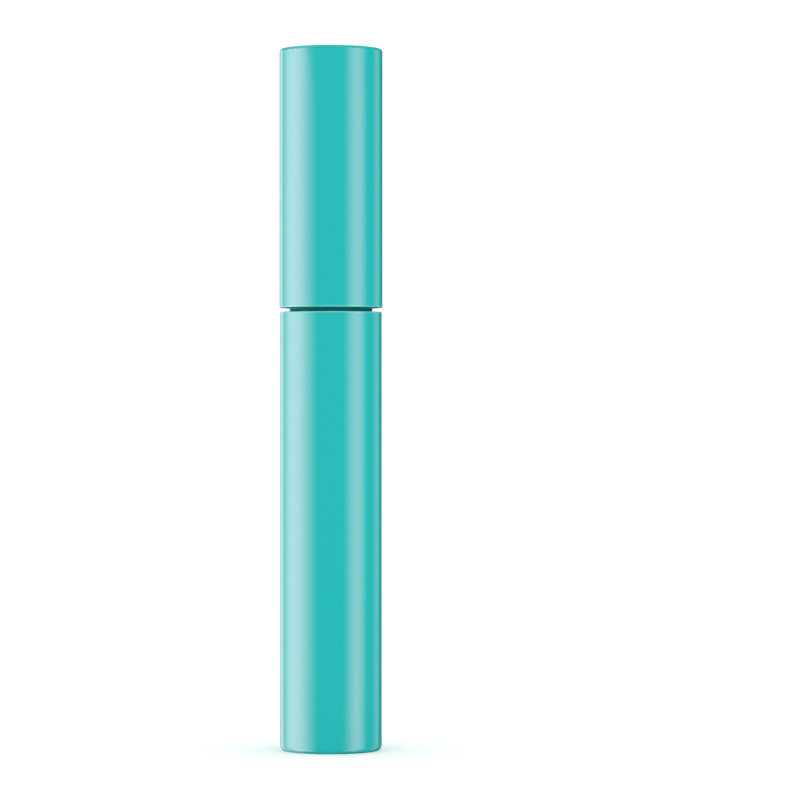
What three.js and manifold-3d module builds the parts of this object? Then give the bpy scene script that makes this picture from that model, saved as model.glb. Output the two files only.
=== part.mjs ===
// A double-walled mascara tube, closed: bottle shell, threaded inner vial with its wiper, and the
// screw-on applicator with a twisted-wire brush. Millimetres, +Z up, origin at the middle of the base.
import * as THREE from 'three';
import { mergeVertices } from 'three/addons/utils/BufferGeometryUtils.js';
import Module from 'manifold-3d';

const wasm = await Module();
wasm.setup();

// Outside sizes
const CAP_RADIUS = 9.0;
const BOTTLE_RADIUS = 8.87;
const TOTAL_HEIGHT = 122.7;
const SHOULDER_Z = 76.7;
const CAP_RIM_Z = 77.42;
const FOOT_FILLET = 0.9;
const SHOULDER_FILLET = 0.4;
const CAP_TOP_FILLET = 0.6;
const CAP_RIM_FILLET = 0.3;

// Fits
const STATIC_GAP = 0.05;
const MOVING_GAP = 0.1;

// Bottle shell
const BOTTLE_BORE = 7.35;
const BOTTLE_FLOOR = 2.0;
const FOOT_RECESS = 0.35;
const FOOT_RING_INNER = 6.2;
const RECESS_RADIUS = 5.9;
const FLANGE_SEAT_RADIUS = 7.9;
const FLANGE_SEAT_Z = 75.4;

// Inner vial and its neck
const VIAL_RADIUS = 7.1;
const VIAL_BORE = 6.1;
const VIAL_BOTTOM_Z = 31.0;
const VIAL_FLOOR_Z = 32.5;
const VIAL_CORNER = 1.2;
const FLANGE_TOP_Z = SHOULDER_Z - STATIC_GAP;
const NECK_ROOT = 5.0;
const NECK_BORE = 4.0;
const NECK_TOP_Z = 86.6;
const VIAL_CONE_LOW_Z = 69.6;
const VIAL_CONE_HIGH_Z = 71.7;
const RIB_COUNT = 8;
const VIAL_RIB_HEIGHT = 8;

// Screw thread: 1.5 turns, right-handed, male on the neck and female in the inner cap
const PITCH = 2.5;
const THREAD_TURNS = 1.5;
const THREAD_START_Z = 79.35;
const MALE_CREST = 5.65;
const FEMALE_CREST = 5.2;
const FEMALE_ROOT = 5.85;
const RIDGE_ROOT_WIDTH = 1.3;
const RIDGE_CREST_WIDTH = 0.7;
const RIDGE_SINK = 0.2;
const RIDGE_FADE = 0.06;

// Wiper, washer and rod
const WIPER_RADIUS = NECK_BORE - STATIC_GAP;
const WIPER_WALL = 0.7;
const WIPER_ORIFICE = 1.95;
const WIPER_LIP_Z = 76.6;
const WIPER_CONE_Z = 80.2;
const WIPER_RIM_RADIUS = 4.9;
const WIPER_RIM = 0.6;
const WASHER_RADIUS = 4.8;
const WASHER_THICKNESS = 0.7;
const ROD_RADIUS = 1.84;
const ROD_FLANGE_RADIUS = 4.2;
const ROD_FLANGE = 0.8;
const ROD_HEAD_RADIUS = 2.4;
const ROD_HEAD_TOP_Z = 99.0;
const ROD_TIP_RADIUS = 1.3;
const ROD_CONE = 0.55;
const ROD_BORE = 0.8;
const ROD_BORE_DEPTH = 8.0;

// Inner cap and outer cap
const LIP_RADIUS = 7.25;
const LIP_Z = 76.82;
const LIP_CHAMFER = 0.3;
const SPLINE_COUNT = 16;
const SPLINE_HEIGHT = 0.2;
const SPLINE_LOW_Z = 81.0;
const SOCKET_RADIUS = 4.0;
const SOCKET_TOP_Z = 99.6;
const INNER_CAP_TOP_Z = 103.0;
const INNER_CAP_WALL = 1.2;
const CEILING = 1.6;
const CAP_BORE = 7.5;
const CAP_TOP_WALL = 1.8;

// Brush
const ROW_COUNT = 13;
const ROW_PITCH = 1.605;
const ROW_GAP = 0.05;
const FIRST_ROW_Z = 36.9;
const BRUSH_RADIUS = 2.89;
const TIP_RADII = [1.89, 2.06, 2.36, 2.63, 2.8];
const HUB_RADIUS = 1.4;
const FIN_ROOT = 0.8;
const FIN_TIP = 0.36;
const TWIST_STEPS = 8;
const WIRE_RADIUS = 0.3;
const WIRE_OFFSET = 0.34;
const WIRE_LEAD = 2 * ROW_PITCH;
const WIRE_TIP_Z = 35.45;
const WIRE_SIDES = 6;
const WIRE_STEPS_PER_TURN = 8;

// Paste
const PASTE_TOP_Z = 67.0;
const PASTE_GAP = 0.1;
const PASTE_CAVITY = 3.2;
const PASTE_CAVITY_Z = 34.7;
const PASTE_CORNER = 0.8;

const SEGMENTS = 40;
const FINE_ARC = 3;

const washerBottomZ = NECK_TOP_Z + WIPER_RIM + 2 * MOVING_GAP;
const rodFlangeZ = washerBottomZ + WASHER_THICKNESS + MOVING_GAP;
const ceilingZ = rodFlangeZ + ROD_FLANGE + STATIC_GAP;
const rodTipZ = FIRST_ROW_Z + (ROW_COUNT - 0.5) * ROW_PITCH + ROW_GAP;

const material = (color, roughness, metalness = 0) =>
  new THREE.MeshStandardMaterial({ color, roughness, metalness });
const shellTeal = material(0x2abcb9, 0.22);
const innerCapTeal = material(0x0c5c58, 0.35);
const vialPlastic = material(0xd9dedb, 0.4);
const softSeal = material(0xe6e4dc, 0.6);
const rodBlack = material(0x0d0d0e, 0.15);
const wireSteel = material(0x8f9296, 0.3, 1);
const bristleBlack = material(0x141314, 0.5);
const pasteBlack = material(0x090909, 0.25);

// Turns a profile of [radius, z] corners and arcs about the axis.
function turned(path, segments = SEGMENTS) {
  const geometry = new THREE.LatheGeometry(path.getPoints(FINE_ARC), segments);
  return geometry.rotateX(Math.PI / 2);
}

// A profile starting at the given point; further points are [radius, z] pairs.
function profile(r, z, ...points) {
  const path = new THREE.Path().moveTo(r, z);
  return lines(path, ...points);
}

function lines(path, ...points) {
  for (const [r, z] of points) path.lineTo(r, z);
  return path;
}

// A line to a quarter round about (r, z), and the round itself, its angles in quarter turns.
function quarter(path, r, z, radius, from, to) {
  const [start, end] = [from, to].map((turns) => (turns * Math.PI) / 2);
  path.lineTo(r + radius * Math.cos(start), z + radius * Math.sin(start));
  return path.absarc(r, z, radius, start, end, end < start);
}

function toSolid(geometry) {
  const bare = geometry.clone();
  bare.deleteAttribute('normal');
  bare.deleteAttribute('uv');
  const merged = mergeVertices(bare, 1e-4);
  const triangles = [];
  for (let i = 0; i < merged.index.count; i += 3) {
    const corners = [0, 1, 2].map((k) => merged.index.getX(i + k));
    if (new Set(corners).size === 3) triangles.push(...corners);
  }
  return new wasm.Manifold(new wasm.Mesh({
    numProp: 3,
    vertProperties: new Float32Array(merged.attributes.position.array),
    triVerts: new Uint32Array(triangles),
  }));
}

function toGeometry(solid) {
  const mesh = solid.getMesh();
  const geometry = new THREE.BufferGeometry();
  geometry.setAttribute('position', new THREE.BufferAttribute(mesh.vertProperties, 3));
  geometry.setIndex(new THREE.BufferAttribute(mesh.triVerts, 1));
  geometry.computeVertexNormals();
  return geometry;
}

function joined(...geometries) {
  const solids = geometries.map(toSolid);
  return toGeometry(solids.reduce((whole, piece) => whole.add(piece)));
}

function rod(radius, lowZ, highZ, segments) {
  const geometry = new THREE.CylinderGeometry(radius, radius, highZ - lowZ, segments);
  return geometry.rotateX(Math.PI / 2).translate(0, 0, (lowZ + highZ) / 2);
}

// A helical ridge of trapezoid section. It is extruded straight, then wound on the axis; its height
// fades to nothing over the last part of a turn at both ends.
function threadRidge(rootRadius, crestRadius, startZ) {
  const sink = crestRadius > rootRadius ? -RIDGE_SINK : RIDGE_SINK;
  const crest = crestRadius - rootRadius;
  const section = new THREE.Shape();
  section.moveTo(sink, -RIDGE_ROOT_WIDTH / 2);
  section.lineTo(crest, -RIDGE_CREST_WIDTH / 2);
  section.lineTo(crest, RIDGE_CREST_WIDTH / 2);
  section.lineTo(sink, RIDGE_ROOT_WIDTH / 2);
  const steps = Math.round(THREAD_TURNS * SEGMENTS * 0.8);
  const straight = new THREE.ExtrudeGeometry(section, { depth: 1, steps, bevelEnabled: false });
  const position = straight.attributes.position;
  for (let i = 0; i < position.count; i += 1) {
    const along = position.getZ(i);
    const fade = Math.min(1, along / RIDGE_FADE, (1 - along) / RIDGE_FADE);
    const isCrest = position.getX(i) === Math.fround(crest);
    const height = isCrest ? crest * fade + sink * (1 - fade) * 0.5 : sink;
    const angle = along * THREAD_TURNS * 2 * Math.PI;
    const radius = rootRadius + height;
    const z = startZ - position.getY(i) + along * THREAD_TURNS * PITCH;
    position.setXYZ(i, radius * Math.cos(angle), radius * Math.sin(angle), z);
  }
  return straight;
}

// Small upright ribs round a wall, one box each.
function ribs(count, innerRadius, outerRadius, width, lowZ, highZ) {
  return Array.from({ length: count }, (_, k) => {
    const box = new THREE.BoxGeometry(outerRadius - innerRadius, width, highZ - lowZ);
    box.translate((innerRadius + outerRadius) / 2, 0, (lowZ + highZ) / 2);
    return box.rotateZ((k * 2 * Math.PI) / count);
  });
}

function outerBottle() {
  const path = profile(0, FOOT_RECESS, [RECESS_RADIUS, FOOT_RECESS], [FOOT_RING_INNER, 0]);
  quarter(path, BOTTLE_RADIUS - FOOT_FILLET, FOOT_FILLET, FOOT_FILLET, -1, 0);
  quarter(path, BOTTLE_RADIUS - SHOULDER_FILLET, SHOULDER_Z - SHOULDER_FILLET, SHOULDER_FILLET, 0, 1);
  lines(path, [FLANGE_SEAT_RADIUS, SHOULDER_Z], [FLANGE_SEAT_RADIUS, FLANGE_SEAT_Z]);
  lines(path, [BOTTLE_BORE, FLANGE_SEAT_Z], [BOTTLE_BORE, BOTTLE_FLOOR + 1]);
  lines(path, [BOTTLE_BORE - 1, BOTTLE_FLOOR], [0, BOTTLE_FLOOR]);
  return turned(path);
}

function innerVial() {
  const flangeRadius = FLANGE_SEAT_RADIUS - STATIC_GAP;
  const flangeLowZ = FLANGE_SEAT_Z + STATIC_GAP;
  const path = profile(0, VIAL_BOTTOM_Z);
  quarter(path, VIAL_RADIUS - VIAL_CORNER, VIAL_BOTTOM_Z + VIAL_CORNER, VIAL_CORNER, -1, 0);
  lines(path, [VIAL_RADIUS, flangeLowZ], [flangeRadius, flangeLowZ], [flangeRadius, FLANGE_TOP_Z]);
  lines(path, [NECK_ROOT, FLANGE_TOP_Z], [NECK_ROOT, NECK_TOP_Z], [NECK_BORE, NECK_TOP_Z]);
  lines(path, [NECK_BORE, VIAL_CONE_HIGH_Z], [VIAL_BORE, VIAL_CONE_LOW_Z]);
  quarter(path, VIAL_BORE - VIAL_CORNER, VIAL_FLOOR_Z + VIAL_CORNER, VIAL_CORNER, 0, -1);
  lines(path, [0, VIAL_FLOOR_Z]);
  const crushRibs = ribs(RIB_COUNT, VIAL_BORE + 0.3, BOTTLE_BORE - STATIC_GAP, 0.8,
    flangeLowZ - VIAL_RIB_HEIGHT, flangeLowZ - 1);
  return joined(turned(path), threadRidge(NECK_ROOT, MALE_CREST, THREAD_START_Z), ...crushRibs);
}

function wiper() {
  const rimZ = NECK_TOP_Z + MOVING_GAP;
  const path = profile(WIPER_ORIFICE, WIPER_LIP_Z, [WIPER_ORIFICE + WIPER_WALL, WIPER_LIP_Z]);
  lines(path, [WIPER_RADIUS, WIPER_CONE_Z], [WIPER_RADIUS, rimZ], [WIPER_RIM_RADIUS, rimZ]);
  lines(path, [WIPER_RIM_RADIUS, rimZ + WIPER_RIM], [WIPER_RADIUS - WIPER_WALL, rimZ + WIPER_RIM]);
  lines(path, [WIPER_RADIUS - WIPER_WALL, WIPER_CONE_Z + 0.6], [WIPER_ORIFICE, WIPER_LIP_Z]);
  return turned(path);
}

function mascaraPaste() {
  const radius = VIAL_BORE - PASTE_GAP;
  const floorZ = VIAL_FLOOR_Z + PASTE_GAP;
  const chamfer = VIAL_CORNER;
  const path = profile(0, floorZ, [radius - chamfer, floorZ], [radius, floorZ + chamfer]);
  lines(path, [radius, PASTE_TOP_Z], [PASTE_CAVITY, PASTE_TOP_Z]);
  quarter(path, PASTE_CAVITY - PASTE_CORNER, PASTE_CAVITY_Z + PASTE_CORNER, PASTE_CORNER, 0, -1);
  lines(path, [0, PASTE_CAVITY_Z]);
  return turned(path);
}

function sealWasher() {
  const inner = ROD_RADIUS + MOVING_GAP;
  const topZ = washerBottomZ + WASHER_THICKNESS;
  return turned(profile(inner, washerBottomZ, [WASHER_RADIUS, washerBottomZ],
    [WASHER_RADIUS, topZ], [inner, topZ], [inner, washerBottomZ]));
}

function outerCap() {
  const path = profile(CAP_BORE, CAP_RIM_Z);
  quarter(path, CAP_RADIUS - CAP_RIM_FILLET, CAP_RIM_Z + CAP_RIM_FILLET, CAP_RIM_FILLET, -1, 0);
  quarter(path, CAP_RADIUS - CAP_TOP_FILLET, TOTAL_HEIGHT - CAP_TOP_FILLET, CAP_TOP_FILLET, 0, 1);
  const ceiling = TOTAL_HEIGHT - CAP_TOP_WALL;
  lines(path, [0, TOTAL_HEIGHT], [0, ceiling], [CAP_BORE - 1, ceiling], [CAP_BORE, ceiling - 1]);
  lines(path, [CAP_BORE, CAP_RIM_Z]);
  return turned(path);
}

function innerCap() {
  const boss = ROD_HEAD_RADIUS + STATIC_GAP;
  const wallInside = LIP_RADIUS - INNER_CAP_WALL;
  const path = profile(FEMALE_ROOT, LIP_Z + LIP_CHAMFER, [FEMALE_ROOT + LIP_CHAMFER, LIP_Z]);
  lines(path, [LIP_RADIUS, LIP_Z], [LIP_RADIUS, INNER_CAP_TOP_Z], [wallInside, INNER_CAP_TOP_Z]);
  lines(path, [wallInside, ceilingZ + CEILING], [SOCKET_RADIUS, ceilingZ + CEILING]);
  lines(path, [SOCKET_RADIUS, SOCKET_TOP_Z], [boss, SOCKET_TOP_Z], [boss, ceilingZ]);
  lines(path, [FEMALE_ROOT, ceilingZ], [FEMALE_ROOT, LIP_Z + LIP_CHAMFER]);
  const splines = ribs(SPLINE_COUNT, LIP_RADIUS - 0.4, LIP_RADIUS + SPLINE_HEIGHT, 0.9,
    SPLINE_LOW_Z, INNER_CAP_TOP_Z - 1);
  const thread = threadRidge(FEMALE_ROOT, FEMALE_CREST, THREAD_START_Z - PITCH / 2);
  return joined(turned(path), thread, ...splines);
}

function wandRod() {
  const flangeTopZ = rodFlangeZ + ROD_FLANGE;
  const path = profile(0, rodTipZ + ROD_BORE_DEPTH, [ROD_BORE, rodTipZ + ROD_BORE_DEPTH]);
  lines(path, [ROD_BORE, rodTipZ], [ROD_TIP_RADIUS, rodTipZ], [ROD_RADIUS, rodTipZ + ROD_CONE]);
  lines(path, [ROD_RADIUS, rodFlangeZ], [ROD_FLANGE_RADIUS, rodFlangeZ]);
  lines(path, [ROD_FLANGE_RADIUS, flangeTopZ], [ROD_HEAD_RADIUS, flangeTopZ]);
  lines(path, [ROD_HEAD_RADIUS, ROD_HEAD_TOP_Z - 0.6], [ROD_HEAD_RADIUS - 0.6, ROD_HEAD_TOP_Z]);
  lines(path, [0, ROD_HEAD_TOP_Z]);
  return turned(path, SEGMENTS / 2);
}

// One wire folded at the tip of the brush, its two legs twisted about each other.
class FoldedWire extends THREE.Curve {
  constructor(lowZ, highZ) {
    super();
    this.lowZ = lowZ + WIRE_OFFSET + WIRE_RADIUS;
    this.leg = highZ - this.lowZ;
    this.bend = Math.PI * WIRE_OFFSET;
  }

  getPoint(t, target = new THREE.Vector3()) {
    const along = t * (2 * this.leg + this.bend);
    if (along < this.leg) return this.onLeg(this.leg - along, 0, target);
    if (along > this.leg + this.bend) return this.onLeg(along - this.leg - this.bend, Math.PI, target);
    const angle = (along - this.leg) / WIRE_OFFSET;
    return target.set(WIRE_OFFSET * Math.cos(angle), 0, this.lowZ - WIRE_OFFSET * Math.sin(angle));
  }

  onLeg(height, phase, target) {
    const angle = phase + (height / WIRE_LEAD) * 2 * Math.PI;
    return target.set(WIRE_OFFSET * Math.cos(angle), WIRE_OFFSET * Math.sin(angle), this.lowZ + height);
  }
}

function coreWire() {
  const highZ = rodTipZ + ROD_BORE_DEPTH - 0.3;
  const section = new THREE.Shape().absarc(0, 0, WIRE_RADIUS, 0, 2 * Math.PI, false);
  const turns = (2 * (highZ - WIRE_TIP_Z)) / WIRE_LEAD;
  return new THREE.ExtrudeGeometry(section, {
    extrudePath: new FoldedWire(WIRE_TIP_Z, highZ),
    steps: Math.round(turns * WIRE_STEPS_PER_TURN),
    curveSegments: WIRE_SIDES / 2,
    bevelEnabled: false,
  });
}

// A flat two-sided fin twisted half a turn along the axis, lying along X half way up.
function twistedFin(radius, height) {
  const fin = new THREE.Shape();
  fin.moveTo(radius, -FIN_TIP / 2).lineTo(radius, FIN_TIP / 2).lineTo(0, FIN_ROOT / 2);
  fin.lineTo(-radius, FIN_TIP / 2).lineTo(-radius, -FIN_TIP / 2).lineTo(0, -FIN_ROOT / 2);
  const geometry = new THREE.ExtrudeGeometry(fin, { depth: height, steps: TWIST_STEPS, bevelEnabled: false });
  geometry.translate(0, 0, -height / 2);
  const position = geometry.attributes.position;
  for (let i = 0; i < position.count; i += 1) {
    const point = new THREE.Vector3().fromBufferAttribute(position, i);
    point.applyAxisAngle(new THREE.Vector3(0, 0, 1), (Math.PI * point.z) / ROW_PITCH);
    position.setXYZ(i, point.x, point.y, point.z);
  }
  return geometry;
}

function bristleRow(index) {
  const height = ROW_PITCH - ROW_GAP;
  const radius = TIP_RADII[index] ?? BRUSH_RADIUS;
  const hub = rod(HUB_RADIUS, -height / 2, height / 2, 14);
  const bore = rod(ROD_BORE, -height, height, 10);
  const row = toSolid(twistedFin(radius, height)).add(toSolid(hub)).subtract(toSolid(bore));
  return toGeometry(row).translate(0, 0, FIRST_ROW_Z + index * ROW_PITCH);
}

function part(name, geometry, finish) {
  const mesh = new THREE.Mesh(geometry, finish);
  mesh.name = name;
  return mesh;
}

const bottle = new THREE.Group();
bottle.add(
  part('outer_bottle', outerBottle(), shellTeal),
  part('inner_vial', innerVial(), vialPlastic),
  part('wiper', wiper(), softSeal),
  part('mascara_paste', mascaraPaste(), pasteBlack),
);

const brush = new THREE.Group();
brush.add(part('core_wire', coreWire(), wireSteel));
for (let index = 0; index < ROW_COUNT; index += 1) {
  const name = `bristle_row_${String(index + 1).padStart(2, '0')}`;
  brush.add(part(name, bristleRow(index), bristleBlack));
}

const applicator = new THREE.Group();
applicator.add(
  part('outer_cap', outerCap(), shellTeal),
  part('inner_cap', innerCap(), innerCapTeal),
  part('rod', wandRod(), rodBlack),
  part('seal_washer', sealWasher(), softSeal),
  brush,
);

const tube = new THREE.Group();
tube.add(bottle, applicator);
export default tube;
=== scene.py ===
# %% [markdown]
# # A mascara tube, from its shells to its bristles
# The tube is a plain thing outside and a busy one inside: a glossy bottle shell and cap shell, a
# threaded vial that holds the mascara, a soft wiper in its neck, and an applicator whose rod ends in
# a twisted-wire brush. Each of these is made here as a piece of its own, inside the sizes of the
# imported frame, and each rides on the body that it moves with.

# %% Load the frame
import math
import random

import bmesh
import bpy
from mathutils import Matrix, Vector, noise


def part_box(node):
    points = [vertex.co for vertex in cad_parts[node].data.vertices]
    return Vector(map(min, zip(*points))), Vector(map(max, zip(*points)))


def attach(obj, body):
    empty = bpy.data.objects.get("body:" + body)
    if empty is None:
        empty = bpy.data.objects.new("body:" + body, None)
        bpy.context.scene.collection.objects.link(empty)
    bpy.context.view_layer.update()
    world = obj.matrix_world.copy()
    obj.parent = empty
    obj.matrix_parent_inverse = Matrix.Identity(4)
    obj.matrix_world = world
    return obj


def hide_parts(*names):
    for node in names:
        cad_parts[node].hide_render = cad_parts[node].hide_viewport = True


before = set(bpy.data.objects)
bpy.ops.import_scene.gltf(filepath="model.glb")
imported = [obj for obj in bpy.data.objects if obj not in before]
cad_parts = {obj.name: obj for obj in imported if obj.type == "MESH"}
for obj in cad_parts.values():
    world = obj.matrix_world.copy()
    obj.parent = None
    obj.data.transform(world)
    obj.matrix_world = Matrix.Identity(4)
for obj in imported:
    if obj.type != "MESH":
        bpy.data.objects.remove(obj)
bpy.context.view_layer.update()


# %% [markdown]
# The whole tube is 123 mm tall and its thinnest walls are less than a millimetre, so it is drawn in
# millimetres and shrunk to metres when a piece is filed. That keeps the numbers readable, and it
# keeps the bevels, unions and remeshes well away from the smallest steps those tools can take.

# %% Read the driving sizes, in millimetres
MM = 0.001


def size_of(node):
    """The lowest and highest corner of a CAD node, in millimetres."""
    low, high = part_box(node)
    return low / MM, high / MM


bottle_high = size_of("outer_bottle")[1]
cap_low, cap_high = size_of("outer_cap")
vial_low, vial_high = size_of("inner_vial")
insert_low, insert_high = size_of("inner_cap")
rod_low, rod_high = size_of("rod")
wiper_low, wiper_high = size_of("wiper")
washer_low, washer_high = size_of("seal_washer")
paste_low, paste_high = size_of("mascara_paste")
wire_low, wire_high = size_of("core_wire")
print(f"bottle {2 * bottle_high.x:.2f} mm across, cap {2 * cap_high.x:.2f} mm across")
print(f"whole tube {cap_high.z:.1f} mm tall")


# %% [markdown]
# Most pieces of a tube are round mouldings. The plainest way to make one is to draw half of its
# section and spin it. No corner of a real moulding is sharp, so the section's corners are bevelled
# first, while they are still only points on a line: that costs nothing and leaves clean rings.

# %% Spin a section into a closed body
FILLET_SEGMENTS = 6
MERGE_DISTANCE = 0.0001


def turned(outline, steps=128, ring=False):
    """Spins corners (radius, height) or (radius, height, fillet) about Z; ring closes the section."""
    shape = bmesh.new()
    corners = [shape.verts.new((radius, 0, height)) for radius, height, *_ in outline]
    pairs = list(zip(corners, corners[1:]))
    if ring:
        pairs.append((corners[-1], corners[0]))
    for pair in pairs:
        shape.edges.new(pair)
    for vertex, (_, _, *fillet) in zip(corners, outline):
        if fillet:
            bmesh.ops.bevel(shape, geom=[vertex], offset=fillet[0], affect="VERTICES",
                            segments=FILLET_SEGMENTS, profile=0.5, material=-1)
    bmesh.ops.spin(shape, geom=shape.verts[:] + shape.edges[:], axis=(0, 0, 1), cent=(0, 0, 0),
                   steps=steps, angle=math.tau, use_merge=True)
    bmesh.ops.remove_doubles(shape, verts=shape.verts, dist=MERGE_DISTANCE)
    bmesh.ops.recalc_face_normals(shape, faces=shape.faces)
    return shape


# %% Turn a shape into an object, bake its modifiers, join another to it, file it
def as_object(shape, name):
    """Moves a bmesh into a new object in the scene."""
    mesh = bpy.data.meshes.new(name)
    shape.to_mesh(mesh)
    shape.free()
    piece = bpy.data.objects.new(name, mesh)
    bpy.context.scene.collection.objects.link(piece)
    return piece


def bake_modifiers(piece):
    """Replaces the mesh by what its modifiers make of it."""
    graph = bpy.context.evaluated_depsgraph_get()
    result = bpy.data.meshes.new_from_object(piece.evaluated_get(graph))
    piece.modifiers.clear()
    piece.data = result


def fuse(piece, *shapes):
    """Unites more shapes with a piece, so that it stays one closed body."""
    extras = [as_object(shape, "extra") for shape in shapes]
    for extra in extras:
        union = piece.modifiers.new("union", "BOOLEAN")
        union.operation = "UNION"
        union.solver = "EXACT"
        union.object = extra
    bake_modifiers(piece)
    for extra in extras:
        bpy.data.objects.remove(extra)


def file_piece(piece, body, finish, replaces=(), crease=35):
    """Shrinks a piece to metres, smooths it up to a crease angle and files it with the frame."""
    piece.data.transform(Matrix.Scale(MM, 4))
    piece.data.materials.clear()
    piece.data.materials.append(finish)
    piece.data.shade_smooth()
    piece.data.set_sharp_from_angle(angle=math.radians(crease))
    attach(piece, body)
    if replaces:
        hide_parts(*replaces)
    print(f"{piece.name}: {len(piece.data.polygons)} faces")


# %% [markdown]
# Finishes are written as sums. A shader socket is wrapped in a small class, and adding or multiplying
# two of them adds the Math nodes, so that a pattern reads like a formula. Everything that isn't
# arithmetic, such as a noise or a bump, comes from one method that adds a node.

# %% The wrapped socket
class Value:
    """A number that varies over a surface; arithmetic on it adds Math nodes."""

    def __init__(self, finish, socket):
        self.finish = finish
        self.socket = socket

    def math(self, operation, first, second):
        return self.finish.node("ShaderNodeMath", {"operation": operation}, {0: first, 1: second})

    def __add__(self, other):
        return self.math("ADD", self, other)

    def __sub__(self, other):
        return self.math("SUBTRACT", self, other)

    def __rsub__(self, other):
        return self.math("SUBTRACT", other, self)

    def __mul__(self, other):
        return self.math("MULTIPLY", self, other)

    def __abs__(self):
        return self.math("ABSOLUTE", self, 0.0)

    __radd__ = __add__
    __rmul__ = __mul__


# %% The finish that the values belong to
class Finish:
    """One Principled material; what is the same all over is set on its sockets at once."""

    def __init__(self, name, **constants):
        self.material = bpy.data.materials.new(name)
        self.material.use_nodes = True
        self.tree = self.material.node_tree
        self.shader = self.tree.nodes["Principled BSDF"]
        for socket, value in constants.items():
            self.shader.inputs[socket.replace("_", " ")].default_value = value
        self.place = self.node("ShaderNodeTexCoord", output="Object")

    def node(self, kind, settings=None, inputs=None, output=0):
        """Adds any node: its settings first, then its sockets; returns one output."""
        made = self.tree.nodes.new(kind)
        for setting, value in (settings or {}).items():
            setattr(made, setting, value)
        for socket, value in (inputs or {}).items():
            if isinstance(value, Value):
                self.tree.links.new(value.socket, made.inputs[socket])
            else:
                made.inputs[socket].default_value = value
        return Value(self, made.outputs[output])

    def feed(self, **values):
        """Links values that vary over the surface to the shader."""
        for socket, value in values.items():
            self.tree.links.new(value.socket, self.shader.inputs[socket.replace("_", " ")])

    def grain(self, size, detail=2.0, stretch=(1, 1, 1)):
        """Noise from 0 to 1 with lumps about size metres across, drawn out where stretch is small."""
        place = self.node("ShaderNodeMapping", {}, {"Vector": self.place, "Scale": stretch})
        return self.node("ShaderNodeTexNoise", {}, {"Vector": place, "Scale": 1 / size, "Detail": detail})

    def axis(self, letter):
        """One of the coordinates X, Y or Z, in metres."""
        return self.node("ShaderNodeSeparateXYZ", {}, {"Vector": self.place}, letter)

    def from_axis(self):
        """The distance from the tube's own axis, in metres."""
        flat = self.node("ShaderNodeVectorMath", {"operation": "MULTIPLY"}, {0: self.place, 1: (1, 1, 0)})
        return self.node("ShaderNodeVectorMath", {"operation": "LENGTH"}, {0: flat}, "Value")

    def rise(self, value, low, high):
        """0 below low, 1 above high, and a smooth rise between them."""
        limits = {"Value": value, "From Min": low, "From Max": high}
        return self.node("ShaderNodeMapRange", {"interpolation_type": "SMOOTHSTEP"}, limits)

    def mix(self, share, first, second):
        """Two colours mixed by a share from 0 to 1."""
        return self.node("ShaderNodeMix", {"data_type": "RGBA"}, {0: share, 6: first, 7: second}, 2)

    def bump(self, height, depth):
        """A bump of that depth, in metres, on the Normal socket."""
        self.feed(Normal=self.node("ShaderNodeBump", {}, {"Height": height, "Distance": depth}))


# %% [markdown]
# ## Camera, floor and light
# A tube this glossy is mostly made of its reflections. Two tall softboxes stand beside it, a broad
# bright one on the left and a narrower one on the right, and each draws one clean band down the full
# height. Two dim cards behind the tube do the same for its back. All four show only in reflections.
# The even light that gives the plastic its flat clear colour comes from a white room, which in turn
# is hidden from reflections, so the bands stay crisp. The floor is a wide pale disc with a faint glow.
# It is hidden from reflections too and casts no shadow, so that the feet of the softboxes, which reach
# below it, still light the lowest part of the tube.

# %% Camera, level and square to the tube
CAMERA_PLACE = (0.01208, -0.666, 0.06128)
CAMERA_LENS = 171.1
CAMERA_SENSOR = 36.0
camera_lens = bpy.data.cameras.new("camera")
camera_lens.lens = CAMERA_LENS
camera_lens.sensor_width = CAMERA_SENSOR
camera = bpy.data.objects.new("camera", camera_lens)
bpy.context.scene.collection.objects.link(camera)
camera.location = CAMERA_PLACE
camera.rotation_euler = (math.radians(90), 0, 0)
bpy.context.scene.camera = camera
bpy.context.scene.view_settings.view_transform = "Standard"
print(f"camera {-1000 * camera.location.y:.0f} mm in front, {1000 * camera.location.z:.1f} mm up")


# %% White room and pale floor
ROOM_LIGHT = 1.08
FLOOR_GLOW = 0.05
FLOOR_RADIUS = 4.0
FLOOR_PALE = (0.965, 0.965, 0.965, 1)
FLOOR_PALER = (0.985, 0.985, 0.985, 1)
room = bpy.data.worlds.new("white room")
room.use_nodes = True
room.node_tree.nodes["Background"].inputs["Color"].default_value = (1, 1, 1, 1)
room.node_tree.nodes["Background"].inputs["Strength"].default_value = ROOM_LIGHT
room.cycles_visibility.glossy = False
bpy.context.scene.world = room

floor_finish = Finish("pale floor", Roughness=1.0, Specular_IOR_Level=0.0,
                      Emission_Color=(1, 1, 1, 1), Emission_Strength=FLOOR_GLOW)
floor_grain = floor_finish.grain(0.01)
floor_finish.feed(Base_Color=floor_finish.mix(floor_grain, FLOOR_PALE, FLOOR_PALER))
floor_shape = bmesh.new()
bmesh.ops.create_circle(floor_shape, cap_ends=True, segments=96, radius=FLOOR_RADIUS)
floor = as_object(floor_shape, "floor")
floor.data.materials.append(floor_finish.material)
floor.visible_glossy = False
floor.visible_shadow = False


# %% [markdown]
# A softbox is brightest in the middle and fades towards its edges, which is why its reflection has
# no hard border. Each one is a stack of upright panels, every panel narrower than the one before, so
# that their light adds up to a rounded hill that the plastic's slight roughness makes smooth. Most of
# the light comes from low panels, which end a little above the tube: they fill its walls but stay out
# of the flat top. A fifth comes from tall ones, which carry the bands over the top's fillet. No two
# panels share a plane, because a ray that meets two lamps at one distance counts only one of them, and
# the limit on what a ray may pass through is raised to the number of panels.

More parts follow.
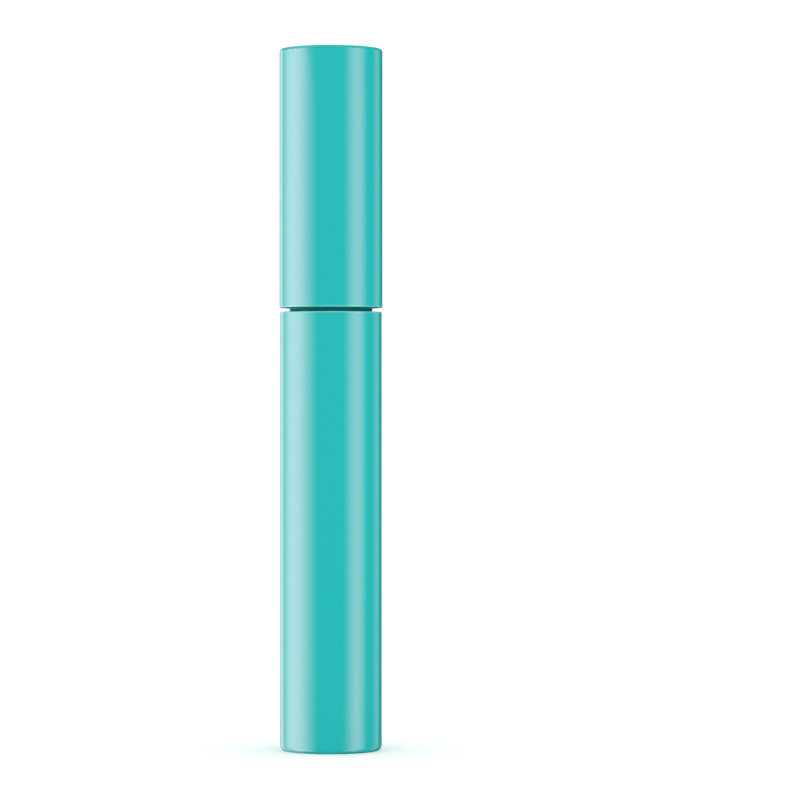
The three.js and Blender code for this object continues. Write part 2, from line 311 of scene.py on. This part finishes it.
# %% Softboxes, by the angle round the tube from the camera, in degrees, positive to the right
STAND_OFF = 0.5
PANEL_SPACING = 0.003
PANELS = 8
LOW_SPAN = (-0.7, 0.245, 0.8)
TALL_SPAN = (-0.9, 0.9, 0.2)
PANEL_SPANS = [LOW_SPAN, TALL_SPAN]


def panel(name, distance, first, last, low, high, radiance):
    """An upright lamp that spans two angles round the tube, in radians, and faces its axis."""
    lamp = bpy.data.lights.new(name, "AREA")
    lamp.shape = "RECTANGLE"
    lamp.size = 2 * distance * math.tan((last - first) / 2)
    lamp.size_y = high - low
    lamp.energy = radiance * lamp.size * lamp.size_y * math.pi
    stand = bpy.data.objects.new(name, lamp)
    bpy.context.scene.collection.objects.link(stand)
    turn = (first + last) / 2
    place = Vector((math.sin(turn), -math.cos(turn), 0)) * distance
    upright = (-place).to_track_quat("-Z", "Y").to_matrix().to_4x4()
    place.z = (low + high) / 2
    stand.matrix_world = Matrix.Translation(place) @ upright
    stand.visible_diffuse = False
    stand.visible_camera = False


def softbox(name, middle, reach_left, reach_right, radiance):
    """A stack of panels round one angle; a span is its foot, its top and its part of the light."""
    distance = STAND_OFF
    for low, high, part in PANEL_SPANS:
        for step in range(PANELS):
            distance += PANEL_SPACING
            share = math.acos(math.sqrt((step + 0.5) / PANELS)) * 2 / math.pi
            first = math.radians(middle - reach_left * share)
            last = math.radians(middle + reach_right * share)
            panel(name, distance, first, last, low, high, radiance * part / PANELS)


SOFTBOXES = [
    ("left softbox", -80, 64, 55, 8.5),
    ("right softbox", 61, 36, 33, 5.6),
    ("back right card", 126, 22, 21, 0.9),
    ("back left card", -148, 20, 24, 2.0),
]
for box in SOFTBOXES:
    softbox(*box)
bpy.context.scene.cycles.transparent_max_bounces = len(SOFTBOXES) * PANELS * len(PANEL_SPANS)
print(f"{len(SOFTBOXES)} softboxes of {PANELS * len(PANEL_SPANS)} panels each")


# %% [markdown]
# ## The teal shells
# Both shells are moulded in the same teal plastic and lacquered to a soft gloss. The colour is
# nearly even, so it is the skin that makes it look like plastic: the faint ripple that moulding
# leaves, a slightly uneven gloss, and a painted highlight, a fine paler line along the rims
# where cap and bottle meet.

# %% Teal plastic
SHELL_TEAL = (0.0165, 0.487, 0.470, 1)
# The paler teal of the painted highlight along the rims.
RIM_HIGHLIGHT_TEAL = (0.17, 0.66, 0.65, 1)
LACQUER_TINT = (1.0, 0.42, 0.56, 1)
MOULD_RIPPLE = 0.0000025


def teal_plastic(name, rim_z):
    """Teal with a painted highlight: a fine paler line along the rim at that height, in millimetres."""
    finish = Finish(name, IOR=1.5, Specular_Tint=LACQUER_TINT)
    cloud = finish.grain(0.02)
    fine = finish.grain(0.0015)
    near_rim = 1 - finish.rise(abs(finish.axis("Z") - rim_z * MM), 0.0001, 0.0004)
    # Painted highlight: a patchy paler line along the rim, where cap and bottle meet.
    painted_rim_highlight = near_rim * finish.rise(finish.grain(0.004), 0.15, 0.6)
    finish.feed(Base_Color=finish.mix(painted_rim_highlight * 0.8 + cloud * 0.02, SHELL_TEAL, RIM_HIGHLIGHT_TEAL))
    finish.feed(Roughness=0.09 + 0.03 * cloud + 0.02 * fine)
    finish.bump(finish.grain(0.0009, 1.0), MOULD_RIPPLE)
    return finish.material


bottle_teal = teal_plastic("teal bottle plastic", bottle_high.z)
cap_teal = teal_plastic("teal cap plastic", cap_low.z)


# %% [markdown]
# The bottle shell is a deep cup. Its foot is a flat ring round a shallow recess, so that it stands
# without rocking, and its mouth has a step that the vial's flange drops into. The cap shell is the
# same kind of cup upside down. Both are spun with more steps than the small pieces, because their
# outlines are what the eye follows.

# %% Bottle shell and cap shell
SHELL_STEPS = 192
SHELL_BORE = 7.35
SHELL_FLOOR = 2.0
MOUTH_STEP = 7.9
MOUTH_DEPTH = 1.3
RECESS_RADIUS = 5.9
RECESS_DEPTH = 0.35
FOOT_RING = 6.2
bottle_radius = bottle_high.x
shoulder = bottle_high.z
bottle_shell = as_object(turned([
    (0, RECESS_DEPTH), (RECESS_RADIUS, RECESS_DEPTH, 0.12), (FOOT_RING, 0, 0.1),
    (bottle_radius, 0, 0.9), (bottle_radius, shoulder, 0.22),
    (MOUTH_STEP, shoulder, 0.1), (MOUTH_STEP, shoulder - MOUTH_DEPTH, 0.05),
    (SHELL_BORE, shoulder - MOUTH_DEPTH, 0.1), (SHELL_BORE, SHELL_FLOOR, 1.0), (0, SHELL_FLOOR),
], steps=SHELL_STEPS), "bottle_shell")
file_piece(bottle_shell, "bottle", bottle_teal, ["outer_bottle"])

CAP_BORE = 7.5
CAP_TOP_WALL = 1.8
cap_radius = cap_high.x
cap_rim = cap_low.z
cap_top = cap_high.z
cap_shell = as_object(turned([
    (0, cap_top - CAP_TOP_WALL), (CAP_BORE, cap_top - CAP_TOP_WALL, 1.0), (CAP_BORE, cap_rim, 0.15),
    (cap_radius, cap_rim, 0.15), (cap_radius, cap_top, 0.5), (0, cap_top),
], steps=SHELL_STEPS), "cap_shell")
file_piece(cap_shell, "applicator", cap_teal, ["outer_cap"])


# %% [markdown]
# ## Screw threads and ribs
# The vial's neck and the cap's insert screw together on a thread of one and a half turns. A thread
# ridge is made straight, as a bar with a trapezoid section, and then wound on the axis, which leaves
# its ends easy to fade: near each end the crest sinks to nothing, as on a moulded neck. The small
# upright ribs that grip one moulding inside another are one bevelled block, copied round by a spin.

# %% A wound thread ridge
PITCH = 2.5
TURNS = 1.5
ROOT_HALF_WIDTH = 0.65
CREST_HALF_WIDTH = 0.35
ROOT_OVERLAP = 0.2
RUN_OUT = 0.08
RIDGE_CUTS = 143


def thread_ridge(root, crest, start_z):
    """A ridge from the root radius, which it dips into, to the crest radius, starting at a height."""
    sunk = root + math.copysign(ROOT_OVERLAP, root - crest)
    shape = bmesh.new()
    outline = [
        (sunk, -ROOT_HALF_WIDTH), (crest, -CREST_HALF_WIDTH),
        (crest, CREST_HALF_WIDTH), (sunk, ROOT_HALF_WIDTH),
    ]
    section = [shape.verts.new((radius, 0, height)) for radius, height in outline]
    shape.faces.new(section)
    bmesh.ops.bevel(shape, geom=section[1:3], offset=0.12, affect="VERTICES",
                    segments=3, profile=0.5, material=-1)
    far = bmesh.ops.extrude_face_region(shape, geom=shape.faces[:])["geom"]
    far = [item for item in far if isinstance(item, bmesh.types.BMVert)]
    bmesh.ops.translate(shape, verts=far, vec=(0, 1, 0))
    lengthwise = [edge for edge in shape.edges if edge.verts[0].co.y != edge.verts[1].co.y]
    bmesh.ops.subdivide_edges(shape, edges=lengthwise, cuts=RIDGE_CUTS)
    for vertex in shape.verts:
        along = vertex.co.y
        fade = min(1, along / RUN_OUT, (1 - along) / RUN_OUT)
        radius = sunk + (vertex.co.x - sunk) * (0.1 + 0.9 * fade)
        turn = Matrix.Rotation(along * TURNS * math.tau, 3, "Z")
        vertex.co = turn @ Vector((radius, 0, start_z + vertex.co.z + along * TURNS * PITCH))
    bmesh.ops.recalc_face_normals(shape, faces=shape.faces)
    return shape


# %% Upright ribs round a wall
def upright_ribs(count, inside, outside, width, low, high):
    """Equal ribs between two radii and two heights, with their outer edges rounded."""
    shape = bmesh.new()
    middle = Matrix.Translation(((inside + outside) / 2, 0, (low + high) / 2))
    size = Matrix.Diagonal((outside - inside, width, high - low, 1))
    bmesh.ops.create_cube(shape, size=1, matrix=middle @ size)
    outer = [edge for edge in shape.edges if all(v.co.x > middle.translation.x for v in edge.verts)]
    bmesh.ops.bevel(shape, geom=outer, offset=0.09, affect="EDGES", segments=2, profile=0.5, material=-1)
    block = shape.verts[:] + shape.edges[:] + shape.faces[:]
    bmesh.ops.spin(shape, geom=block, axis=(0, 0, 1), cent=(0, 0, 0), steps=count - 1,
                   angle=math.tau * (count - 1) / count, use_duplicate=True)
    return shape


# %% [markdown]
# ## The vial
# The vial is the real container: a thin cup of milky plastic with a flange that sits in the bottle's
# mouth, a cone up to the neck, and the outside thread. Milky plastic lets a little light in, so it
# gets a shallow subsurface glow, and mascara has dried in smears round its mouth.

# %% Milky plastic, smeared round the mouth
MASCARA_BLACK = (0.002, 0.002, 0.0024, 1)
AGEING = (0.96, 0.94, 0.88, 1)


def milky_plastic(name, colour, roughness, smear_low, smear_high, smear_radius):
    """Cloudy plastic whose smears thicken between two heights and inside a radius, in millimetres."""
    finish = Finish(name, IOR=1.49, Subsurface_Weight=0.25, Subsurface_Scale=0.0006)
    streaks = finish.grain(0.0016, 4.0, (1, 1, 0.5))
    up = finish.rise(finish.axis("Z"), smear_low * MM, smear_high * MM)
    inward = 1 - finish.rise(finish.from_axis(), (smear_radius - 0.4) * MM, (smear_radius + 0.2) * MM)
    smear = finish.rise(streaks + 0.25 * up * inward - 0.25 * (1 - inward), 0.56, 0.64)
    cloud = finish.grain(0.006)
    yellowed = tuple(channel * shade for channel, shade in zip(colour, AGEING))
    finish.feed(Base_Color=finish.mix(smear, finish.mix(cloud, colour, yellowed), MASCARA_BLACK))
    finish.feed(Roughness=roughness + 0.1 * cloud - 0.12 * smear)
    finish.bump(smear + 0.1 * finish.grain(0.0004), 0.00003)
    return finish.material


VIAL_MILK = (0.60, 0.65, 0.62, 1)
vial_plastic = milky_plastic("milky vial plastic", VIAL_MILK, roughness=0.32,
                             smear_low=84.5, smear_high=86.5, smear_radius=4.7)


# %% Vial
WALL = 1.0
neck_top = vial_high.z
flange_radius = vial_high.x
flange_top = shoulder - 0.05
flange_low = flange_top - 1.2
VIAL_RADIUS = 7.1
NECK_RADIUS = 5.0
NECK_BORE = 4.0
NECK_FOOT = 71.7
CONE_FOOT = 69.6
MALE_CREST = 5.65
THREAD_START = flange_top + 2.7
vial_floor = vial_low.z + 1.5
vial = as_object(turned([
    (0, vial_low.z), (VIAL_RADIUS, vial_low.z, 1.2), (VIAL_RADIUS, flange_low, 0.1),
    (flange_radius, flange_low, 0.1), (flange_radius, flange_top, 0.15),
    (NECK_RADIUS, flange_top, 0.25), (NECK_RADIUS, neck_top, 0.15), (NECK_BORE, neck_top, 0.15),
    (NECK_BORE, NECK_FOOT, 0.6), (VIAL_RADIUS - WALL, CONE_FOOT, 0.8),
    (VIAL_RADIUS - WALL, vial_floor, 1.2), (0, vial_floor),
]), "vial")
vial_ribs = upright_ribs(count=8, inside=VIAL_RADIUS - 0.7, outside=SHELL_BORE - 0.05, width=0.8,
                         low=flange_low - 8, high=flange_low - 1)
fuse(vial, thread_ridge(NECK_RADIUS, MALE_CREST, THREAD_START), vial_ribs)
file_piece(vial, "bottle", vial_plastic, ["inner_vial"])


# %% [markdown]
# ## The soft seals
# The wiper is a soft funnel pressed into the neck, and its thin lip strips the brush and rod as they
# come out. The washer on top of it seals the tube when the cap is tight. Both are the same cloudy
# elastomer, and the wiper's inside is black with mascara.

# %% Wiper and washer
SEAL_CREAM = (0.76, 0.75, 0.70, 1)
soft_seal = milky_plastic("cloudy elastomer", SEAL_CREAM, roughness=0.42,
                          smear_low=78.0, smear_high=87.0, smear_radius=3.6)
LIP_RADIUS = 1.95
LIP_HEIGHT = 3.6
THROAT_HEIGHT = 4.2
WIPER_RIM = 0.6
lip_z = wiper_low.z
rim_top = wiper_high.z
barrel = NECK_BORE - 0.05
wiper_funnel = as_object(turned([
    (LIP_RADIUS, lip_z, 0.12), (LIP_RADIUS + 0.7, lip_z, 0.3), (barrel, lip_z + LIP_HEIGHT, 0.8),
    (barrel, rim_top - WIPER_RIM, 0.1), (wiper_high.x, rim_top - WIPER_RIM, 0.15),
    (wiper_high.x, rim_top, 0.2), (barrel - 0.7, rim_top, 0.4), (barrel - 0.7, lip_z + THROAT_HEIGHT, 1.0),
], ring=True), "wiper_funnel")
file_piece(wiper_funnel, "bottle", soft_seal, ["wiper"])

WASHER_BORE = 1.94
washer = as_object(turned([
    (WASHER_BORE, washer_low.z, 0.15), (washer_high.x, washer_low.z, 0.3),
    (washer_high.x, washer_high.z, 0.3), (WASHER_BORE, washer_high.z, 0.15),
], ring=True), "washer")
file_piece(washer, "washer", soft_seal, ["seal_washer"])


# %% [markdown]
# ## The cap's insert
# The insert is a darker moulding that the cap shell is pressed onto. Its lip is the dark ring in the
# gap between the two shells. It carries the inside thread, a socket for the rod's head, and sixteen
# splines that bite into the shell so that the two turn as one.

# %% Dark teal plastic
DARK_TEAL = (0.003, 0.215, 0.190, 1)
CLOUDED_TEAL = (0.004, 0.245, 0.218, 1)


def dark_teal_plastic():
    finish = Finish("dark teal insert plastic", IOR=1.4, Specular_IOR_Level=0.1)
    cloud = finish.grain(0.004)
    rings = finish.grain(0.0005, 2.0, (0.1, 0.1, 1))
    shade = finish.mix(cloud, DARK_TEAL, CLOUDED_TEAL)
    inside = 1 - finish.rise(finish.from_axis(), 0.0056, 0.0061)
    smear = inside * finish.rise(finish.grain(0.0018, 4.0), 0.58, 0.64)
    finish.feed(Base_Color=finish.mix(smear, shade, MASCARA_BLACK))
    finish.feed(Roughness=0.5 + 0.1 * rings - 0.12 * smear)
    finish.bump(smear + 0.3 * rings, 0.000006)
    return finish.material


# %% Inner cap
insert_radius = insert_high.x - 0.2
insert_wall = insert_radius - 1.2
FEMALE_ROOT = 5.85
FEMALE_CREST = 5.2
SOCKET_WALL = 4.0
SOCKET_BORE = 2.45
SOCKET_TOP = 99.6
SPLINE_FOOT = 81.0
ceiling = rod_high.z - 9.95
ceiling_top = ceiling + 1.6
cap_insert = as_object(turned([
    (FEMALE_ROOT, insert_low.z, 0.25), (insert_radius, insert_low.z, 0.2),
    (insert_radius, insert_high.z, 0.3), (insert_wall, insert_high.z, 0.2),
    (insert_wall, ceiling_top, 0.6), (SOCKET_WALL, ceiling_top, 0.5),
    (SOCKET_WALL, SOCKET_TOP, 0.3), (SOCKET_BORE, SOCKET_TOP, 0.1),
    (SOCKET_BORE, ceiling, 0.1), (FEMALE_ROOT, ceiling, 0.4),
], ring=True), "cap_insert")
splines = upright_ribs(count=16, inside=insert_radius - 0.4, outside=insert_radius + 0.2, width=0.9,
                       low=SPLINE_FOOT, high=insert_high.z - 1)
fuse(cap_insert, thread_ridge(FEMALE_ROOT, FEMALE_CREST, THREAD_START - PITCH / 2), splines)
file_piece(cap_insert, "applicator", dark_teal_plastic(), ["inner_cap"])


# %% [markdown]
# ## The rod
# The rod is a solid black moulding with a flange that presses the washer and a head that snaps into
# the insert. It is smooth and black, and its gloss is drawn out along its length, as plastic is when
# it flows down a long narrow mould.

# %% Glossy black plastic
ROD_BLACK = (0.0035, 0.0035, 0.004, 1)
FLOW_BLACK = (0.0065, 0.0065, 0.007, 1)


def black_plastic():
    finish = Finish("glossy black rod plastic", IOR=1.5, Specular_IOR_Level=0.25)
    flow = finish.grain(0.003, 3.0, (1, 1, 0.15))
    finish.feed(Base_Color=finish.mix(flow, ROD_BLACK, FLOW_BLACK))
    finish.feed(Roughness=0.1 + 0.12 * flow)
    finish.bump(flow, 0.000004)
    return finish.material


# %% Rod
ROD_RADIUS = 1.84
ROD_NOSE = 1.3
WIRE_SOCKET = 0.8
WIRE_SOCKET_DEPTH = 8
FLANGE_THICKNESS = 0.8
HEAD_RADIUS = 2.4
rod_tip = rod_low.z
flange_z = washer_high.z + 0.1
head_foot = flange_z + FLANGE_THICKNESS
head_top = rod_high.z
rod = as_object(turned([
    (0, rod_tip + WIRE_SOCKET_DEPTH), (WIRE_SOCKET, rod_tip + WIRE_SOCKET_DEPTH, 0.2),
    (WIRE_SOCKET, rod_tip, 0.1), (ROD_NOSE, rod_tip, 0.12), (ROD_RADIUS, rod_tip + 0.55, 0.2),
    (ROD_RADIUS, flange_z, 0.2), (rod_high.x, flange_z, 0.15), (rod_high.x, head_foot, 0.15),
    (HEAD_RADIUS, head_foot, 0.1), (HEAD_RADIUS, head_top - 0.6, 0.2),
    (HEAD_RADIUS - 0.6, head_top, 0.2), (0, head_top),
], steps=96), "wand_rod")
file_piece(rod, "applicator", black_plastic(), ["rod"])


# %% [markdown]
# ## The mascara
# Mascara is a thick, wet, waxy paste. In the vial it stands as the wall that the brush has scraped
# its way into. It is made as a plain turned body, remeshed into small even faces, and then pushed
# about by noise, because a paste has no clean edge anywhere.

# %% Wet paste finish
WAXY_BLACK = (0.007, 0.0065, 0.007, 1)


def wet_paste(name, roughness):
    """Dull waxy black with small wet spots, whose coat catches the light."""
    finish = Finish(name, IOR=1.4, Specular_IOR_Level=0.06, Coat_Roughness=0.04, Coat_IOR=2.0)
    lumps = finish.grain(0.0007, 3.0)
    pigment = finish.grain(0.00015, 2.0)
    wet = finish.rise(finish.grain(0.0003, 1.0), 0.65, 0.7)
    finish.feed(Base_Color=finish.mix(lumps, MASCARA_BLACK, WAXY_BLACK))
    finish.feed(Roughness=roughness + 0.15 * lumps, Coat_Weight=wet)
    finish.bump(lumps + 0.3 * pigment + wet, 0.00003)
    return finish.material


# %% Remesh and roughen
def roughen(piece, voxel, depth, lump, drift=0.0, soften=2):
    """Remeshes a piece, softens it and pushes it in and out by noise; drift moves it all outwards."""
    remesh = piece.modifiers.new("even faces", "REMESH")
    remesh.mode = "VOXEL"
    remesh.voxel_size = voxel
    smooth = piece.modifiers.new("soften", "SMOOTH")
    smooth.iterations = soften
    bake_modifiers(piece)
    shape = bmesh.new()
    shape.from_mesh(piece.data)
    for vertex in shape.verts:
        push = noise.noise(vertex.co / lump) + 0.5 * noise.noise(vertex.co * 2.3 / lump)
        vertex.co += vertex.normal * (depth * push + drift)
    shape.to_mesh(piece.data)
    shape.free()


# %% Paste in the vial
paste_finish = wet_paste("wet mascara", roughness=0.3)
paste_radius = paste_high.x
SCRAPED_RADIUS = 3.2
SCRAPED_FLOOR = 34.7
mascara_fill = as_object(turned([
    (0, paste_low.z), (paste_radius, paste_low.z, 1.25), (paste_radius, paste_high.z, 0.5),
    (SCRAPED_RADIUS + 0.3, paste_high.z, 0.7), (SCRAPED_RADIUS, SCRAPED_FLOOR, 0.9), (0, SCRAPED_FLOOR),
]), "mascara_fill")
roughen(mascara_fill, voxel=0.3, depth=0.12, lump=1.4, drift=-0.1)
file_piece(mascara_fill, "paste", paste_finish, ["mascara_paste"], crease=180)


# %% [markdown]
# Where the rod has been drawn through the wiper, a film of mascara has stayed on it in wavy smears.
# The film is a sleeve just under the rod's surface that breaks through it only where a noise is high.

# %% Film of mascara on the rod
FILM_INSIDE = 1.2
FILM_FOOT = 81.6
film_radius = ROD_RADIUS - 0.02
film_top = flange_z - 0.2
rod_film = as_object(turned([
    (FILM_INSIDE, FILM_FOOT), (film_radius, FILM_FOOT), (film_radius, film_top), (FILM_INSIDE, film_top),
], steps=48, ring=True), "rod_film")
roughen(rod_film, voxel=0.12, depth=0.07, lump=0.8, drift=-0.02, soften=0)
file_piece(rod_film, "applicator", paste_finish, crease=180)


# %% [markdown]
# ## The twisted wire
# A mascara brush is held by one steel wire, folded in two and twisted, with the bristles caught
# between its legs. The wire starts as one ring of points. Half a turn about a level axis makes the
# fold at the tip, and one long spin that also climbs winds both legs at once.

# %% Steel wire
STEEL = (0.30, 0.31, 0.32, 1)
BRIGHT_STEEL = (0.42, 0.43, 0.45, 1)


def steel():
    finish = Finish("drawn steel wire", Metallic=1.0)
    drawn = finish.grain(0.0006, 3.0, (1, 1, 0.3))
    finish.feed(Base_Color=finish.mix(drawn, STEEL, BRIGHT_STEEL))
    finish.feed(Roughness=0.24 + 0.2 * drawn)
    finish.bump(drawn, 0.000006)
    return finish.material


# %% Folded and twisted wire
row_names = sorted(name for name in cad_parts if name.startswith("bristle_row_"))
row_feet = [size_of(name)[0].z for name in row_names]
row_pitch = (row_feet[-1] - row_feet[0]) / (len(row_names) - 1)
WIRE_RADIUS = 0.3
WIRE_OFFSET = 0.34
LEG_STEPS_A_LEAD = 20
wire_lead = 2 * row_pitch
fold_z = wire_low.z + WIRE_OFFSET + WIRE_RADIUS
wire_slant = math.atan2(wire_lead, math.tau * WIRE_OFFSET)
leg = wire_high.z - fold_z


def folded_wire():
    """Two legs wound round each other; the section is stretched because the wire crosses it aslant."""
    shape = bmesh.new()
    slanted = Matrix.Diagonal((1, 1 / math.sin(wire_slant), 1, 1))
    oval = Matrix.Translation((WIRE_OFFSET, 0, fold_z)) @ slanted
    bmesh.ops.create_circle(shape, segments=14, radius=WIRE_RADIUS, matrix=oval)
    bmesh.ops.spin(shape, geom=shape.verts[:] + shape.edges[:], axis=(0, 1, 0), cent=(0, 0, fold_z),
                   steps=14, angle=math.pi)
    ends = [edge for edge in shape.edges if len(edge.link_faces) == 1]
    ends += list(dict.fromkeys(vertex for edge in ends for vertex in edge.verts))
    steps = round(LEG_STEPS_A_LEAD * leg / wire_lead)
    bmesh.ops.spin(shape, geom=ends, axis=(0, 0, 1), cent=(0, 0, 0), dvec=(0, 0, leg / steps),
                   steps=steps, angle=math.tau * leg / wire_lead)
    bmesh.ops.holes_fill(shape, edges=shape.edges, sides=0)
    bmesh.ops.recalc_face_normals(shape, faces=shape.faces)
    return shape


wire = as_object(folded_wire(), "twisted_wire")
file_piece(wire, "applicator", steel(), ["core_wire"], crease=60)
print(f"rows every {row_pitch:.3f} mm, wire lead {wire_lead:.2f} mm, leg {leg:.1f} mm")


# %% [markdown]
# ## The bristles
# The bristles lie flat between the legs of the wire before it is twisted, and twisting winds them
# into a spiral, so that a row shows at each side once every half turn. Wet bristles clump, and what
# shows is a stack of fat blunt tufts. So each row is made of tufts that reach from the wire to the
# rim, every one turned a little further round the axis than the one below it. A remesh then melts a
# row into one body, which rounds its roots together as the paste does.

# %% The angle of a row's tufts, by their height
CLUMPING = 0.5


def tuft_angle(share):
    """The turn at a share from -0.5 to 0.5 of a row's height; tufts draw together at its two ends."""
    return math.pi * share + 0.5 * CLUMPING * math.sin(math.tau * share)


# %% One tuft and one row of them
TUFTS_A_SIDE = 11
TUFT_ROOT_RADIUS = 0.6
TUFT_TIP_RADII = (0.17, 0.27)
TUFT_REACH = (0.86, 1.0)
TURN_SCATTER = 0.06
TILT_SCATTER = 0.045


def tuft(shape, luck, side, foot, reach):
    """One clump of bristles from the wire out to reach, leaning a little, with a blunt wet tip."""
    tip = luck.uniform(*TUFT_TIP_RADII)
    length = reach - tip
    turned_aside = Matrix.Rotation(luck.gauss(0, TURN_SCATTER), 4, "Z")
    lean = turned_aside @ Matrix.Rotation(luck.gauss(0, TILT_SCATTER), 4, "Y")
    lay = Matrix.Translation((side * length / 2, 0, 0)) @ Matrix.Rotation(side * math.pi / 2, 4, "Y")
    bmesh.ops.create_cone(shape, cap_ends=True, segments=10, radius1=TUFT_ROOT_RADIUS, radius2=0.8 * tip,
                          depth=length, matrix=foot @ lean @ lay)
    bead = Matrix.Translation((side * length, 0, luck.uniform(-0.1, 0.1)))
    bmesh.ops.create_icosphere(shape, subdivisions=2, radius=tip, matrix=foot @ lean @ bead)


def tuft_row(index, low, high):
    """All the tufts of one row, inside the box of its CAD node."""
    luck = random.Random(100 + index)
    shape = bmesh.new()
    for side in (-1, 1):
        for count in range(TUFTS_A_SIDE):
            share = (count + luck.uniform(0.25, 0.75)) / TUFTS_A_SIDE
            height = low.z + share * (high.z - low.z)
            foot = Matrix.Translation((0, 0, height)) @ Matrix.Rotation(tuft_angle(share - 0.5), 4, "Z")
            tuft(shape, luck, side, foot, high.x * luck.uniform(*TUFT_REACH))
    return shape


# %% All the rows
DULL_BRISTLE = (0.008, 0.0075, 0.008, 1)


def bristle_black():
    """Bristles whose mascara is as black as in the tube, with a few wet spots."""
    finish = Finish("black bristles in mascara", IOR=1.4, Specular_IOR_Level=0.08,
                    Coat_Roughness=0.05, Coat_IOR=2.0)
    lumps = finish.grain(0.0005, 3.0)
    wet = finish.rise(finish.grain(0.0003, 1.0), 0.66, 0.71)
    finish.feed(Base_Color=finish.mix(lumps, MASCARA_BLACK, DULL_BRISTLE))
    finish.feed(Roughness=0.25 + 0.2 * lumps, Coat_Weight=wet)
    finish.bump(lumps, 0.00002)
    return finish.material


bristle_finish = bristle_black()
for index, name in enumerate(row_names):
    row = as_object(tuft_row(index, *size_of(name)), f"bristles_{index + 1:02d}")
    roughen(row, voxel=0.075, depth=0.03, lump=0.35)
    file_piece(row, "applicator", bristle_finish, [name], crease=180)


# %% [markdown]
# The brush comes out of the tube loaded. Paste fills the brush's middle between the rows and hangs
# on the tip as a slanted peak, off centre, where the last of it pulled away from the lip of the
# wiper. It starts as a cylinder, a leaning cone and many small lumps, fused by a remesh.

# %% Paste on the brush
LOADED_RADIUS = 1.4
TIP_RADIUS = 1.65
TIP_LENGTH = 22.2
TIP_HEIGHT = 1.5
TIP_LEAN = 0.95
TIP_COLLAR = 1.1
CORE_LUMPS = 140
TIP_LUMPS = 9


def loaded_core():
    """Paste from the rod's nose to the leaning peak, as overlapping bodies for a remesh to melt."""
    luck = random.Random(7)
    shape = bmesh.new()
    top = rod_tip + 0.25
    apex = rod_tip - TIP_LENGTH
    collar = apex + TIP_HEIGHT
    waist = collar + TIP_COLLAR
    for low, high, narrow, wide in [(waist, top, LOADED_RADIUS, LOADED_RADIUS),
                                    (collar, waist, TIP_RADIUS, LOADED_RADIUS - 0.1)]:
        middle = Matrix.Translation((0, 0, (low + high) / 2))
        bmesh.ops.create_cone(shape, cap_ends=True, segments=32, radius1=narrow, radius2=wide,
                              depth=high - low, matrix=middle)
    hanging = Matrix.Translation((0, 0, (apex + collar) / 2))
    peak = bmesh.ops.create_cone(shape, cap_ends=True, segments=24, radius1=0.14, radius2=TIP_RADIUS,
                                 depth=TIP_HEIGHT, matrix=hanging)["verts"]
    for vertex in peak:
        vertex.co.x -= TIP_LEAN * (collar - vertex.co.z) / TIP_HEIGHT
    lumps = [(LOADED_RADIUS - 0.1, luck.uniform(collar + 1, top), luck.uniform(0.2, 0.45))
             for _ in range(CORE_LUMPS)]
    lumps += [(TIP_RADIUS - 0.25, collar + luck.uniform(-0.2, 0.7), luck.uniform(0.3, 0.5))
              for _ in range(TIP_LUMPS)]
    for out, height, radius in lumps:
        spot = Matrix.Rotation(luck.uniform(0, math.tau), 4, "Z") @ Matrix.Translation((out, 0, height))
        bmesh.ops.create_icosphere(shape, subdivisions=2, radius=radius, matrix=spot)
    return shape


core = as_object(loaded_core(), "brush_paste")
roughen(core, voxel=0.09, depth=0.09, lump=0.5)
file_piece(core, "applicator", paste_finish, crease=180)
